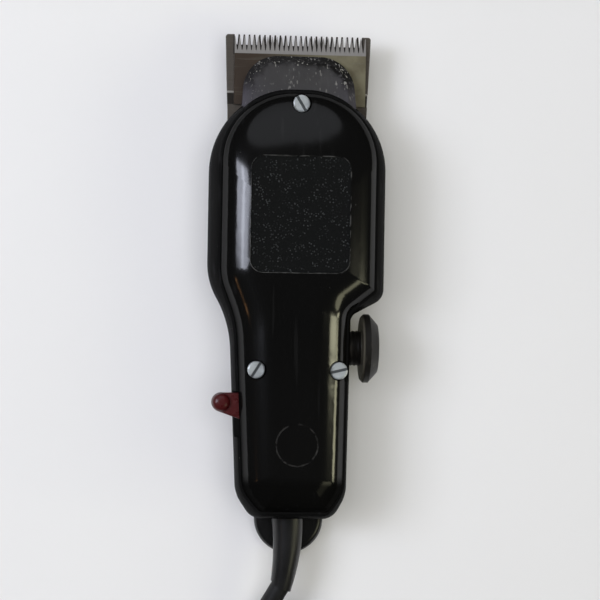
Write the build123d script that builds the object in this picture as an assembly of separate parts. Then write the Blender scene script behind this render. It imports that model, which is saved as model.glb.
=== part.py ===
from build123d import *
import os
from math import cos, degrees, hypot, pi, sin, sqrt

# A magnetic hair clipper, lying on its lower housing with the domed cover up.
# Millimetres. +Z is up, +Y points at the blade and +X at the power knob.
# The origin is under the middle of the clipper, on the surface it lies on.

# Lower housing: its outline at the widest level of the belly
head_half = 28.3
head_round = head_half - 2.3
front_y = 65.4
waist_y = 4.5
waist_round = 22.0
neck_left_x = 21.0
neck_left_y = -9.1
neck_left_round = 35.0
neck_right_x = 17.7
neck_right_y = -6.2
neck_right_round = 3.0
shoulder_y = -0.4
shoulder_round = 5.0
tail_left_x = 18.3
tail_right_x = 17.1
tail_turn_y = -63.5
tail_round = 12.0
tail_y = -71.3
tail_half = 13.0
tail_corner_round = 6.0

# Lower housing: heights, walls and the heel behind the cord
parting_z = 27.0
wall = 2.8
floor_thickness = 3.0
belly_z = 20.0
ledge_head = 3.0
ledge_handle = 1.0
ledge_front = 0.6
ledge_tail = 2.2
heel_radius = 11.2
heel_drop = 1.4
heel_low_z = 2.0
heel_high_z = 8.6
heel_round = 2.4

# Top cover
cover_gap = 0.8
cover_front_gap = 0.6
cover_height = 10.2
cover_thickness = 2.6
dome_steps = 9
dome_head = 15.5
dome_handle = 11.4
dome_front = 25.0
dome_lift = 0.667
dome_head_bend = 1.11
dome_handle_bend = 1.33
dome_front_bend = 1.5
plate_half_width = 15.6
plate_length = 36.4
plate_y = 25.4
plate_round = 4.0
plate_depth = 1.4
ring_outer = 6.9
ring_width = 0.7
ring_depth = 0.5
ring_y = -46.6
seat_gap = 0.05

# Slotted round-head screws that hold the cover
screw_head_radius = 2.75
screw_head_height = 1.7
screw_radius = 1.5
screw_hole_gap = 0.15
screw_pocket_gap = 0.4
screw_slot_width = 0.9
screw_slot_depth = 0.8
front_screw_back = 5.0
rear_screw_x = 13.0
rear_screw_y = -23.3
screw_boss_radius = 4.6
front_screw_seat = 3.3
rear_screw_seat = 5.8
screw_bite = 4.2

# Blades
blade_reach = 18.5
blade_width = 47.0
blade_rear_width = 44.6
blade_corner = 0.9
blade_seat_depth = 11.2
blade_low_z = 12.0
blade_thickness = 2.4
blade_tip_thickness = 0.9
blade_bevel = 7.0
comb_pitch = 1.667
comb_teeth = 24
comb_tooth_tip = 0.44
comb_root_gap = 0.66
comb_depth = 3.3
blade_notch = 4.0
blade_notch_depth = 2.2
blade_notch_web = 1.2
cutter_width = 42.4
cutter_length = 22.0
cutter_setback = 0.6
cutter_thickness = 1.5
cutter_tip_thickness = 0.6
cutter_bevel = 5.6
cutter_pitch = 1.505
cutter_teeth = 27
cutter_tooth_tip = 0.12
cutter_root_gap = 0.24
cutter_depth = 4.5
cutter_rest_shift = 0.6
cutter_stroke = 1.3
slide_gap = 0.05
blade_screw_x = 11.5
blade_screw_ahead = 4.2
blade_screw_radius = 1.7
blade_screw_head_radius = 3.0
blade_screw_head = 1.5
blade_screw_bite = 4.6

# Nose hood over the cutter
hood_back = 7.4
hood_reach = 11.4
hood_rear_half = 18.3
hood_front_half = 17.1
hood_round = 11.0
hood_rear_z = 26.6
hood_front_z = 20.6
hood_wall = 2.4
hood_roof = 1.2
hood_bevel = 2.6
hood_blade_gap = 0.4
hood_boss_radius = 3.4

# Drive arm, armature and pivot
arm_pivot_x = 4.0
arm_pivot_y = -8.0
arm_low_z = 18.6
arm_thickness = 2.8
arm_width = 6.4
arm_nose_width = 6.0
arm_hub_radius = 5.0
arm_tail_width = 3.0
arm_tail_length = 12.0
arm_turn_y = 38.0
pin_radius = 2.0
pin_gap = 0.05
pin_height = 23.2
pivot_boss_radius = 4.2
washer_thickness = 0.6
arm_lift = 0.3
finger_radius = 1.5
finger_gap = 0.2
finger_depth = 2.2
guide_width = 13.0
guide_length = 6.4
guide_height = 2.2
finger_behind_tip = 20.0
tension_width = 5.0
tension_thickness = 0.6
tension_length = 20.0
tension_screw_radius = 1.1
tension_screw_head = 1.2
tension_screw_head_radius = 2.1
armature_width = 6.6
armature_gap = 1.7
rivet_radius = 1.2
rivet_head_radius = 2.0
rivet_head = 0.8
leaf_thickness = 0.5
leaf_length = 16.6
leaf_height = 6.0
leaf_gap = 0.75
leaf_grip = 5.0
leaf_post_edge = 1.6

# Electromagnet
core_low_z = 9.5
core_height = 10.0
core_left_x = 11.3 - head_half
core_back_width = 6.0
core_pole_x = -1.0
core_rear_y = 3.0
core_front_y = 34.0
core_leg = 7.0
bobbin_wall = 1.0
bobbin_flange = 4.2
bobbin_gap = 0.1
winding_depth = 3.4
winding_round = 2.4
core_screw_radius = 1.4
core_screw_head_radius = 2.4
core_screw_head = 1.5
core_post_radius = 3.0

# Power regulator
knob_y = -16.5
knob_z = 18.8
knob_radius = 11.0
knob_front_radius = 7.8
knob_back_x = 21.3
knob_rim = 2.4
knob_front_x = 26.5
knob_round = 0.8
shank_radius = 5.4
shank_length = 11.0
shank_gap = 0.08
bush_radius = 6.4
bush_length = 6.5
bush_boss_radius = 7.6
tip_radius = 3.0
tip_thickness = 1.6
tip_spigot_radius = 1.6
tip_spigot_length = 4.0
tip_gap = 0.05

# Switch
lever_pivot_x = -9.0
lever_pivot_y = -36.5
lever_hub_radius = 5.5
lever_tip_x = -23.45
lever_tip_y = -34.0
lever_tip_radius = 3.05
lever_thickness = 2.8
lever_top_gap = 0.5
button_radius = 2.4
button_height = 1.9
lever_slot_gap = 0.5
lever_slot_front = -30.4
lever_slot_rear = -45.0
lever_pin_radius = 1.5
lever_boss_radius = 3.2
bridge_length = 5.5
bridge_width = 3.6
bridge_thickness = 0.8
contact_gap = 0.3
contact_thickness = 0.8
contact_width = 3.0
contact_fold = 4.0
contact_spread = 4.0
base_thickness = 2.0
base_margin = 2.0

# Cord, strain relief, coil and plug
cord_radius = 3.15
relief_x = -1.0
relief_z = 14.0
relief_radius = 5.1
relief_mid_radius = 4.4
relief_end_radius = 3.75
relief_flange_radius = 6.6
relief_flange = 1.6
relief_flange_ahead = 2.2
wire_radius = 0.8
wire_bend = 4.0
lead_bend = 45.0
lead_runs = [
    (-7.0, -12.5, -2.4),
    (-7.5, -12.5, -3.5),
    (-4.5, -14.0, -2.2),
    (-1.2, -14.0, -0.35),
]
tie_thickness = 0.9
tie_gap = 0.4
tie_width = 12.0
coil_step = 6.75
coil_mid_radius = 32.5
coil_turns_per_layer = 2.5
coil_end_turn = 8.25
plug_lift = 0.8
plug_length = 18.5
plug_width = 24.0
plug_thickness = 13.0
plug_neck_radius = 5.2
plug_neck = 5.0
prong_length = 15.0
prong_width = 6.3
prong_thickness = 1.5
prong_spacing = 12.7


def outline(z, head, handle, front, tail):
    """The plan of the clipper at height z, drawn in by head, handle, front and tail from the widest level."""
    waist_slip = 0.24
    shoulder_slip = 0.6
    tail_slip = 0.6
    tail_narrow = 0.7
    tail_shrink = 1.25
    least_round = 0.8

    def convex(radius, inset):
        return max(radius - inset, least_round)

    corners = [
        (-head_half + head, front_y - front, convex(head_round, head)),
        (-head_half + head, waist_y + waist_slip * head, convex(waist_round, head)),
        (-neck_left_x + handle, neck_left_y + waist_slip * handle, neck_left_round + handle),
        (-tail_left_x + handle, tail_turn_y + tail_slip * tail, convex(tail_round, tail_shrink * handle)),
        (-tail_half + tail_narrow * tail, tail_y + tail, convex(tail_corner_round, tail)),
        (tail_half - tail_narrow * tail, tail_y + tail, convex(tail_corner_round, tail)),
        (tail_right_x - handle, tail_turn_y + tail_slip * tail, convex(tail_round, tail_shrink * handle)),
        (neck_right_x - handle, neck_right_y + shoulder_slip * handle, neck_right_round + handle),
        (head_half - head, shoulder_y + shoulder_slip * head, convex(shoulder_round, head)),
        (head_half - head, front_y - front, convex(head_round, head)),
    ]
    points = [(x, y) for x, y, radius in corners]
    radii = [radius for x, y, radius in corners]
    return Pos(0, 0, z) * make_face(FilletPolyline(*points, radius=radii, close=True))


def write(name, shape):
    """One file for each piece or group of like pieces."""
    export_step(shape, f"parts/{name}.step")


def cylinder(x, y, low, high, radius):
    """An upright round bar between two heights."""
    return Pos(x, y, (low + high) / 2) * Cylinder(radius, high - low)


def block(x0, x1, y0, y1, z0, z1):
    """A block between two corners."""
    return Pos((x0 + x1) / 2, (y0 + y1) / 2, (z0 + z1) / 2) * Box(x1 - x0, y1 - y0, z1 - z0)


os.makedirs("parts", exist_ok=True)

# Levels that several pieces share
blade_tip_y = front_y + blade_reach
blade_rear_y = front_y - blade_seat_depth
blade_high_z = blade_low_z + blade_thickness
cutter_low_z = blade_high_z + slide_gap
cutter_high_z = cutter_low_z + cutter_thickness
cutter_tip_y = blade_tip_y - cutter_setback
hood_low_z = cutter_high_z + hood_blade_gap
hood_rear_y = front_y - hood_back
hood_front_y = front_y + hood_reach
front_screw_y = front_y - front_screw_back
finger_y = blade_tip_y - finger_behind_tip
arm_high_z = arm_low_z + arm_thickness
lever_high_z = parting_z - lever_top_gap
lever_low_z = lever_high_z - lever_thickness
core_high_z = core_low_z + core_height
front_screw_z = parting_z + front_screw_seat
rear_screw_z = parting_z + rear_screw_seat
screws = [
    (0.0, front_screw_y, front_screw_z, arm_high_z + 1.4, -59.0),
    (-rear_screw_x, rear_screw_y, rear_screw_z, parting_z - screw_bite, 58.0),
    (rear_screw_x, rear_screw_y, rear_screw_z, parting_z - screw_bite, 14.0),
]

# Belly of the lower housing: height, then how far the head, handle, front and tail are drawn in
belly = [
    (0.0, 9.5, 9.0, 34.0, 8.0),
    (2.0, 5.6, 5.4, 24.0, 4.8),
    (6.5, 2.3, 2.2, 13.0, 2.0),
    (13.0, 0.5, 0.5, 4.0, 0.5),
    (belly_z, 0.0, 0.0, 0.0, 0.0),
    (parting_z, ledge_head, ledge_handle, ledge_front, ledge_tail),
]


def hood_plan(inset, rear_y):
    """The hood's plan: a tongue that narrows forward, with two broad front corners."""
    points = [
        (-hood_rear_half + inset, rear_y),
        (-hood_front_half + inset, hood_front_y - inset),
        (hood_front_half - inset, hood_front_y - inset),
        (hood_rear_half - inset, rear_y),
    ]
    corner = hood_round - inset
    return make_face(FilletPolyline(*points, radius=[0, corner, corner, 0], close=True))


def hood_prism(inset, rear_y, low, drop):
    """The plan raised from low to the sloping roof, which is drop below the hood's outer roof."""
    slope = (hood_rear_z - hood_front_z) / (hood_front_y - hood_rear_y)
    roof_y = hood_front_y + hood_wall
    front_z = hood_front_z - drop - slope * hood_wall
    rear_z = front_z + slope * (roof_y - rear_y)
    side = Polyline((0, rear_y, low), (0, roof_y, low), (0, roof_y, front_z), (0, rear_y, rear_z), close=True)
    wedge = extrude(make_face(side), amount=2 * hood_rear_half, dir=(1, 0, 0), both=True)
    column = extrude(Pos(0, 0, low) * hood_plan(inset, rear_y), amount=hood_rear_z - low)
    return column & wedge


def blade_plan(grow):
    """The fixed blade's plan: it narrows to the rear and its front corners are rounded."""
    front = blade_width / 2 + grow
    rear = blade_rear_width / 2 + grow
    rear_y = blade_rear_y - grow
    points = [(-rear, rear_y), (-front, blade_tip_y), (front, blade_tip_y), (rear, rear_y)]
    return make_face(FilletPolyline(*points, radius=[0, blade_corner, blade_corner, 0], close=True))


# Lower housing: a moulded belly lofted through the levels, with the heel, hollowed a wall further in
housing_outer = loft([outline(*level) for level in belly])
heel_y = tail_y - heel_drop
heel_plan = Pos(0, heel_y) * Circle(heel_radius)
heel_plan += Pos(0, (heel_y + tail_y + wall) / 2) * Rectangle(2 * heel_radius, tail_y + wall - heel_y)
heel = extrude(Pos(0, 0, heel_low_z) * heel_plan, amount=heel_high_z - heel_low_z)
heel_rim = heel.edges().filter_by_position(Axis.Y, heel_y - heel_radius, tail_y - heel_drop / 2)
heel = fillet(heel_rim.group_by(Axis.Z)[0] + heel_rim.group_by(Axis.Z)[-1], heel_round)
cavity_levels = [
    (floor_thickness, 5.6 + wall, 5.4 + wall, 24.0 + wall, 4.8 + wall),
    (6.5 + wall / 2, 2.3 + wall, 2.2 + wall, 13.0 + wall, 2.0 + wall),
    (13.0, 0.5 + wall, 0.5 + wall, 4.0 + wall, 0.5 + wall),
    (belly_z, wall, wall, wall, wall),
    (parting_z, ledge_head + wall, ledge_handle + wall, ledge_front + wall, ledge_tail + wall),
]
housing = housing_outer + heel - loft([outline(*level) for level in cavity_levels])

# Bosses and seats moulded in the housing
seat_rear_y = blade_rear_y - wall
seat_front_y = finger_y - guide_length / 2 - 0.4
blade_seat = block(-hood_rear_half, hood_rear_half, seat_rear_y, seat_front_y, blade_high_z, hood_low_z)
blade_screw_y = blade_rear_y + blade_screw_ahead
blade_seat += [
    cylinder(side * blade_screw_x, blade_screw_y, blade_high_z, blade_high_z + blade_screw_bite,
             2 * blade_screw_radius)
    for side in (-1, 1)
]
shank_boss_x = neck_right_x - wall + 1.0
bush_x = shank_boss_x - bush_length


def along_x(low, high, radius):
    """A round bar on the regulator's axis."""
    return Pos((low + high) / 2, knob_y, knob_z) * Rot(0, 90, 0) * Cylinder(radius, high - low)


leaf_x = arm_tail_width / 2 + leaf_gap + leaf_thickness / 2
leaf_front_y = arm_pivot_y - arm_hub_radius - 1.0
leaf_rear_y = leaf_front_y - leaf_length
leaf_mid_z = (arm_low_z + arm_high_z) / 2
leaf_low_z = leaf_mid_z - leaf_height / 2
leaf_high_z = leaf_mid_z + leaf_height / 2
post_half = leaf_x + leaf_thickness / 2 + leaf_post_edge
core_posts = [
    (core_left_x + core_back_width / 2, core_rear_y + core_leg / 2),
    (core_left_x + core_back_width / 2, core_front_y - core_leg / 2),
]
bosses = blade_seat
bosses += along_x(bush_x, shank_boss_x, bush_boss_radius)
bosses += cylinder(arm_pivot_x, arm_pivot_y, 0, arm_low_z - arm_lift, pivot_boss_radius)
bosses += cylinder(lever_pivot_x, lever_pivot_y, 0, lever_low_z - arm_lift, lever_boss_radius)
bosses += block(arm_pivot_x - post_half, arm_pivot_x + post_half, leaf_rear_y, leaf_rear_y + leaf_grip,
                0, leaf_high_z)
bosses += [cylinder(x, y, 0, core_low_z, core_post_radius) for x, y in core_posts]
bosses += [cylinder(x, y, 0, parting_z, screw_boss_radius - 1.0) for x, y, seat, end, turn in screws[1:]]
housing += bosses & housing_outer

# Openings through the housing: blade seat, hood slot, lever slot, screw holes, regulator and cord
housing -= extrude(blade_plan(seat_gap), amount=blade_high_z)
cutter_room = cutter_width / 2 + 2 * cutter_stroke
housing -= block(-cutter_room, cutter_room, seat_front_y, blade_tip_y, blade_high_z, hood_low_z)
hood_outer = hood_prism(0, hood_rear_y, hood_low_z, 0)
housing -= hood_prism(-seat_gap, hood_rear_y - seat_gap, hood_low_z, -seat_gap)
housing -= block(-head_half, lever_pivot_x, lever_slot_rear, lever_slot_front,
                 lever_low_z - lever_slot_gap, parting_z)
housing -= [
    cylinder(x, y, end - 1.0, parting_z, screw_radius + screw_hole_gap)
    for x, y, seat, end, turn in screws
]
housing -= [
    cylinder(side * blade_screw_x, blade_screw_y, blade_high_z, blade_high_z + blade_screw_bite,
             blade_screw_radius + seat_gap)
    for side in (-1, 1)
]
housing -= along_x(bush_x, shank_boss_x, bush_radius + seat_gap)
housing -= along_x(bush_x, head_half, shank_radius + 4 * shank_gap)
housing -= cylinder(arm_pivot_x, arm_pivot_y, floor_thickness, arm_low_z, pin_radius + seat_gap)
housing -= cylinder(lever_pivot_x, lever_pivot_y, floor_thickness, lever_low_z, lever_pin_radius + seat_gap)
housing -= [cylinder(x, y, floor_thickness, core_low_z, core_screw_radius + seat_gap) for x, y in core_posts]
for side in (-1, 1):
    slot_x = arm_pivot_x + side * leaf_x
    half = leaf_thickness / 2 + seat_gap
    housing -= block(slot_x - half, slot_x + half, leaf_rear_y, leaf_rear_y + leaf_grip,
                     leaf_low_z, leaf_high_z)
relief_hole = Pos(relief_x, tail_y, relief_z) * Rot(90, 0, 0) * Cylinder(relief_radius + seat_gap, 4 * wall)
housing -= relief_hole
write("lower_housing", housing)

# Top cover: a dome lofted over the parting line. From its edge to its flat top it follows a quarter turn:
# the sine gives the height, and the cosine gives the draw-in of the head, the handle and the front.
dome_turns = [pi / 2 * step / dome_steps for step in range(dome_steps + 1)]


def dome_levels(turns, height, inset):
    """Plans of the dome up to the given height, all drawn in by inset."""
    top = sin(turns[-1]) ** dome_lift
    made = []
    for turn in turns:
        head = dome_head * (1 - abs(cos(turn)) ** dome_head_bend)
        handle = dome_handle * (1 - abs(cos(turn)) ** dome_handle_bend)
        front = dome_front * (1 - abs(cos(turn)) ** dome_front_bend)
        made.append(outline(
            parting_z + sin(turn) ** dome_lift / top * height,
            ledge_head + cover_gap + head + inset,
            ledge_handle + cover_gap + handle + inset,
            ledge_front + cover_front_gap + front + inset,
            ledge_tail + cover_gap + handle + inset,
        ))
    return made


cover_outer = loft(dome_levels(dome_turns, cover_height, 0))
cover = cover_outer - loft(dome_levels(dome_turns[:-2], cover_height - cover_thickness, cover_thickness))
cover += [
    cylinder(x, y, parting_z, parting_z + cover_height, screw_boss_radius) & cover_outer
    for x, y, seat, end, turn in screws
]
cover_top_z = parting_z + cover_height
cover -= [
    cylinder(x, y, seat, cover_top_z, screw_head_radius + screw_pocket_gap)
    for x, y, seat, end, turn in screws
]
cover -= [cylinder(x, y, parting_z, seat, screw_radius + screw_hole_gap) for x, y, seat, end, turn in screws]
plate = RectangleRounded(2 * plate_half_width, plate_length, plate_round)
cover -= extrude(Pos(0, plate_y, cover_top_z - plate_depth) * plate, amount=2 * plate_depth)
ring_plan = Circle(ring_outer) - Circle(ring_outer - ring_width)
cover -= extrude(Pos(0, ring_y, cover_top_z - ring_depth) * ring_plan, amount=2 * ring_depth)
write("top_cover", cover)


def slotted_screw(x, y, seat, end, turn, head_radius, head_height, radius):
    """A round-head screw with its slot, seated on a shoulder and reaching down to end."""
    head = cylinder(x, y, seat, seat + head_height, head_radius)
    head = fillet(head.edges().group_by(Axis.Z)[-1], head_height / 3)
    slot = Pos(x, y, seat + head_height) * Rot(0, 0, turn)
    slot *= Box(2 * head_radius, screw_slot_width, 2 * screw_slot_depth)
    return head + cylinder(x, y, end, seat, radius) - slot


write("cover_screws", Compound([
    slotted_screw(x, y, seat, end, turn, screw_head_radius, screw_head_height, screw_radius)
    for x, y, seat, end, turn in screws
]))

# Nose hood: a sloping scoop over the cutter, bevelled round its roof, with a boss for the front cover screw
hood = hood_outer
roof = hood.faces().sort_by(Axis.Z)[-1]
roof_edges = [edge for edge in roof.edges() if edge.center().Y > hood_rear_y + seat_gap]
hood = chamfer(roof_edges, hood_bevel)
hood -= hood_prism(hood_wall, hood_rear_y - 1.0, hood_low_z, hood_roof)
hood += cylinder(0, front_screw_y, arm_high_z + 1.4, hood_rear_z, hood_boss_radius) & hood_outer
hood -= cylinder(0, front_screw_y, arm_high_z, hood_rear_z, screw_radius + screw_hole_gap)
write("nose_hood", hood)


def toothed_plate(width, tip_y, low, profile, count, pitch, tooth_tip, root_gap, depth, shift):
    """A blade: its side profile carried across the width, then one gap cut between each two teeth, so that
    the teeth narrow to their tips."""
    side = make_face(Polyline(*[(0, y, z) for y, z in profile], close=True))
    blade = Pos(shift, 0, 0) * extrude(side, amount=width / 2, dir=(1, 0, 0), both=True)
    mouth = pitch - tooth_tip
    tooth_gap = make_face(Polyline(
        (-root_gap / 2, tip_y - depth),
        (root_gap / 2, tip_y - depth),
        (mouth / 2, tip_y),
        (-mouth / 2, tip_y),
        close=True,
    ))
    cut = extrude(Pos(0, 0, low - 1.0) * tooth_gap, amount=blade_thickness + 2.0)
    first = shift - (count - 1) * pitch / 2
    return blade - [Pos(first + i * pitch, 0, 0) * cut for i in range(count)]


# Fixed blade: a comb plate, bevelled below towards its tips, with a stepped notch at both sides
comb_profile = [
    (blade_rear_y, blade_low_z),
    (blade_tip_y - blade_bevel, blade_low_z),
    (blade_tip_y, blade_high_z - blade_tip_thickness),
    (blade_tip_y, blade_high_z),
    (blade_rear_y, blade_high_z),
]
fixed_blade = toothed_plate(blade_width, blade_tip_y, blade_low_z, comb_profile,
                            comb_teeth + 1, comb_pitch, comb_tooth_tip, comb_root_gap, comb_depth, 0.0)
fixed_blade &= extrude(Pos(0, 0, blade_low_z - 1.0) * blade_plan(0), amount=blade_thickness + 2.0)
notch_share = (front_y - blade_notch / 2 - blade_rear_y) / (blade_tip_y - blade_rear_y)
notch_side = (blade_rear_width + notch_share * (blade_width - blade_rear_width)) / 2
for side in (-1, 1):
    notch_x = side * notch_side
    fixed_blade -= block(notch_x - blade_notch_depth, notch_x + blade_notch_depth,
                         front_y - blade_notch, front_y, blade_low_z + blade_notch_web, blade_high_z)
    fixed_blade -= cylinder(side * blade_screw_x, blade_screw_y, blade_low_z, blade_high_z,
                            blade_screw_radius + seat_gap)
write("fixed_blade", fixed_blade)
write("blade_screws", Compound([
    Pos(0, 0, blade_low_z) * Rot(180, 0, 0) * slotted_screw(
        side * blade_screw_x, -blade_screw_y, 0, -blade_thickness - blade_screw_bite, 30.0,
        blade_screw_head_radius, blade_screw_head, blade_screw_radius)
    for side in (-1, 1)
]))

# Moving blade, bevelled above towards its tips, and the guide that the arm's finger drives
cutter_profile = [
    (cutter_tip_y - cutter_length, cutter_low_z),
    (cutter_tip_y, cutter_low_z),
    (cutter_tip_y, cutter_low_z + cutter_tip_thickness),
    (cutter_tip_y - cutter_bevel, cutter_high_z),
    (cutter_tip_y - cutter_length, cutter_high_z),
]
write("moving_blade", toothed_plate(
    cutter_width, cutter_tip_y, cutter_low_z, cutter_profile,
    cutter_teeth + 1, cutter_pitch, cutter_tooth_tip, cutter_root_gap, cutter_depth, cutter_rest_shift))
guide_high_z = cutter_high_z + guide_height
guide = Pos(cutter_rest_shift, finger_y, (cutter_high_z + guide_high_z) / 2)
guide *= Box(guide_width, guide_length, guide_height)
guide = fillet(guide.edges().filter_by(Axis.Z), 1.2)
finger_slot = SlotCenterToCenter(2 * finger_gap + 0.6, 2 * (finger_radius + finger_gap), rotation=90)
guide -= extrude(Pos(cutter_rest_shift, finger_y, cutter_high_z) * finger_slot, amount=guide_height)
write("blade_guide", guide)

# Drive arm, swung to where the cutter rests
rest_swing = -degrees(cutter_rest_shift / (finger_y - arm_pivot_y))
swing = Pos(arm_pivot_x, arm_pivot_y) * Rot(0, 0, rest_swing) * Pos(-arm_pivot_x, -arm_pivot_y)
nose_end_y = finger_y + finger_radius + 1.5
nose_start_y = arm_turn_y + 14.0
half_arm = arm_width / 2
half_nose = arm_nose_width / 2
arm_plan = make_face(Polyline(
    (arm_pivot_x - half_arm, arm_pivot_y),
    (arm_pivot_x - half_arm, arm_turn_y),
    (-half_nose, nose_start_y),
    (-half_nose, nose_end_y),
    (half_nose, nose_end_y),
    (half_nose, nose_start_y),
    (arm_pivot_x + half_arm, arm_turn_y),
    (arm_pivot_x + half_arm, arm_pivot_y),
    close=True,
))
arm_plan += Pos(arm_pivot_x, arm_pivot_y) * Circle(arm_hub_radius)
arm_plan += Pos(arm_pivot_x, arm_pivot_y - arm_tail_length / 2) * Rectangle(arm_tail_width, arm_tail_length)
arm = extrude(Pos(0, 0, arm_low_z) * arm_plan, amount=arm_thickness)
arm += cylinder(0, finger_y, arm_low_z - finger_depth, arm_low_z, finger_radius)
arm -= cylinder(arm_pivot_x, arm_pivot_y, arm_low_z, arm_high_z, pin_radius + pin_gap)
armature_x = core_pole_x + armature_gap
rivets = [(armature_x + armature_width / 2, core_rear_y + core_leg / 2),
          (armature_x + armature_width / 2, core_front_y - core_leg / 2)]
arm -= [cylinder(x, y, arm_low_z, arm_high_z, rivet_radius + seat_gap) for x, y in rivets]
tension_rear_y = nose_end_y - tension_length
tension_screw_y = tension_rear_y + tension_width / 2
arm -= cylinder(0, tension_screw_y, arm_low_z, arm_high_z, tension_screw_radius + seat_gap)
write("drive_arm", swing * arm)
armature = block(armature_x, armature_x + armature_width, core_rear_y, core_front_y, core_low_z, arm_low_z)
armature -= [cylinder(x, y, core_low_z, arm_low_z, rivet_radius + seat_gap) for x, y in rivets]
write("armature_stack", swing * armature)
write("armature_rivets", Compound([
    swing * (cylinder(x, y, core_low_z, arm_high_z, rivet_radius)
             + cylinder(x, y, arm_high_z, arm_high_z + rivet_head, rivet_head_radius))
    for x, y in rivets
]))

# Tension spring: a leaf on the arm's nose, under its own screw
tension_plan = RectangleRounded(tension_width, tension_length, 1.5)
tension_plan = Pos(0, (tension_rear_y + nose_end_y) / 2) * tension_plan
tension = extrude(Pos(0, 0, arm_high_z) * tension_plan, amount=tension_thickness)
tension -= cylinder(0, tension_screw_y, arm_high_z, arm_high_z + tension_thickness,
                    tension_screw_radius + seat_gap)
write("tension_spring", swing * tension)
write("tension_screw", swing * slotted_screw(
    0, tension_screw_y, arm_high_z + tension_thickness, arm_low_z, 20.0,
    tension_screw_head_radius, tension_screw_head, tension_screw_radius))

# Pivot pin and its washer
write("pivot_pin", cylinder(arm_pivot_x, arm_pivot_y, floor_thickness, pin_height, pin_radius))
washer_z = arm_high_z + arm_lift
washer = cylinder(arm_pivot_x, arm_pivot_y, washer_z, washer_z + washer_thickness, pivot_boss_radius)
washer -= cylinder(arm_pivot_x, arm_pivot_y, washer_z, washer_z + washer_thickness, pin_radius + seat_gap / 2)
write("pivot_washer", washer)

# Return springs: two flat leaves held in the post, one at each side of the arm's tail
write("return_springs", Compound([
    block(arm_pivot_x + side * leaf_x - leaf_thickness / 2, arm_pivot_x + side * leaf_x + leaf_thickness / 2,
          leaf_rear_y, leaf_front_y, leaf_low_z, leaf_high_z)
    for side in (-1, 1)
]))

# Electromagnet: a C-shaped core on two posts, with the bobbin and its winding on the back bar
core_right_x = core_left_x + core_back_width
core = block(core_left_x, core_pole_x, core_rear_y, core_front_y, core_low_z, core_high_z)
core -= block(core_right_x, core_pole_x, core_rear_y + core_leg, core_front_y - core_leg,
              core_low_z, core_high_z)
core -= [cylinder(x, y, core_low_z, core_high_z, core_screw_radius + seat_gap) for x, y in core_posts]
write("stator_core", core)
write("core_screws", Compound([
    slotted_screw(x, y, core_high_z, floor_thickness + 1.0, 45.0,
                  core_screw_head_radius, core_screw_head, core_screw_radius)
    for x, y in core_posts
]))
core_mid_x = core_left_x + core_back_width / 2
core_mid_z = core_low_z + core_height / 2
bobbin_rear_y = core_rear_y + core_leg + bobbin_gap
bobbin_front_y = core_front_y - core_leg - bobbin_gap


def around_core(grow, rear_y, front_y, corner):
    """A rounded sleeve round the core's back bar, grown out from it, between two places along Y."""
    face = RectangleRounded(core_back_width + 2 * grow, core_height + 2 * grow, corner)
    plane = Plane(origin=(core_mid_x, rear_y, core_mid_z), x_dir=(1, 0, 0), z_dir=(0, 1, 0))
    return extrude(plane * face, amount=front_y - rear_y)


spool = around_core(bobbin_gap + bobbin_wall, bobbin_rear_y, bobbin_front_y, bobbin_wall)
bobbin = spool + around_core(bobbin_flange, bobbin_rear_y, bobbin_rear_y + bobbin_wall, winding_round)
bobbin += around_core(bobbin_flange, bobbin_front_y - bobbin_wall, bobbin_front_y, winding_round)
bobbin -= block(core_left_x - bobbin_gap, core_right_x + bobbin_gap, bobbin_rear_y, bobbin_front_y,
                core_low_z - bobbin_gap, core_high_z + bobbin_gap)
write("coil_bobbin", bobbin)
winding = around_core(winding_depth, bobbin_rear_y + bobbin_wall, bobbin_front_y - bobbin_wall, winding_round)
winding -= around_core(bobbin_gap + bobbin_wall, bobbin_rear_y, bobbin_front_y, bobbin_wall)
write("coil_winding", winding)

# Power regulator: bush in the wall, knob with its shank, and the tip that presses the right-hand leaf
bush = along_x(bush_x, shank_boss_x, bush_radius) - along_x(bush_x, shank_boss_x, shank_radius + shank_gap)
write("regulator_bush", bush)
shank_end_x = knob_back_x - shank_length
knob_profile = make_face(Polyline(
    (shank_end_x, 0),
    (shank_end_x, shank_radius),
    (knob_back_x, shank_radius),
    (knob_back_x, knob_radius - knob_round),
    (knob_back_x + knob_round, knob_radius),
    (knob_back_x + knob_rim, knob_radius),
    (knob_front_x, knob_front_radius),
    (knob_front_x, 0),
    close=True,
))
knob = Pos(0, knob_y, knob_z) * revolve(knob_profile, Axis.X)
knob -= along_x(shank_end_x, shank_end_x + tip_spigot_length + tip_gap, tip_spigot_radius + tip_gap)
write("power_knob", knob)
tip = along_x(shank_end_x - tip_thickness - tip_gap, shank_end_x - tip_gap, tip_radius)
tip += along_x(shank_end_x - tip_gap, shank_end_x + tip_spigot_length - tip_gap, tip_spigot_radius)
write("regulator_tip", tip)

# Switch lever with its button, pin, contact bridge, fixed contacts and base
lever_plan = make_hull((Pos(lever_pivot_x, lever_pivot_y) * Circle(lever_hub_radius)).edges()
                       + (Pos(lever_tip_x, lever_tip_y) * Circle(lever_tip_radius)).edges())
lever = extrude(Pos(0, 0, lever_low_z) * lever_plan, amount=lever_thickness)
lever = fillet(lever.edges().group_by(Axis.Z)[-1], lever_thickness / 5)
button = cylinder(lever_tip_x, lever_tip_y, lever_high_z, lever_high_z + button_height, button_radius)
lever += fillet(button.edges().group_by(Axis.Z)[-1], 0.8 * button_height)
lever -= cylinder(lever_pivot_x, lever_pivot_y, lever_low_z, lever_high_z, lever_pin_radius + pin_gap)
write("switch_lever", lever)
lever_pin = cylinder(lever_pivot_x, lever_pivot_y, floor_thickness, lever_high_z, lever_pin_radius)
write("switch_pivot_pin", lever_pin)
bridge_low_z = lever_low_z - bridge_thickness
bridge_left_x = lever_pivot_x + lever_boss_radius + 0.3
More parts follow.
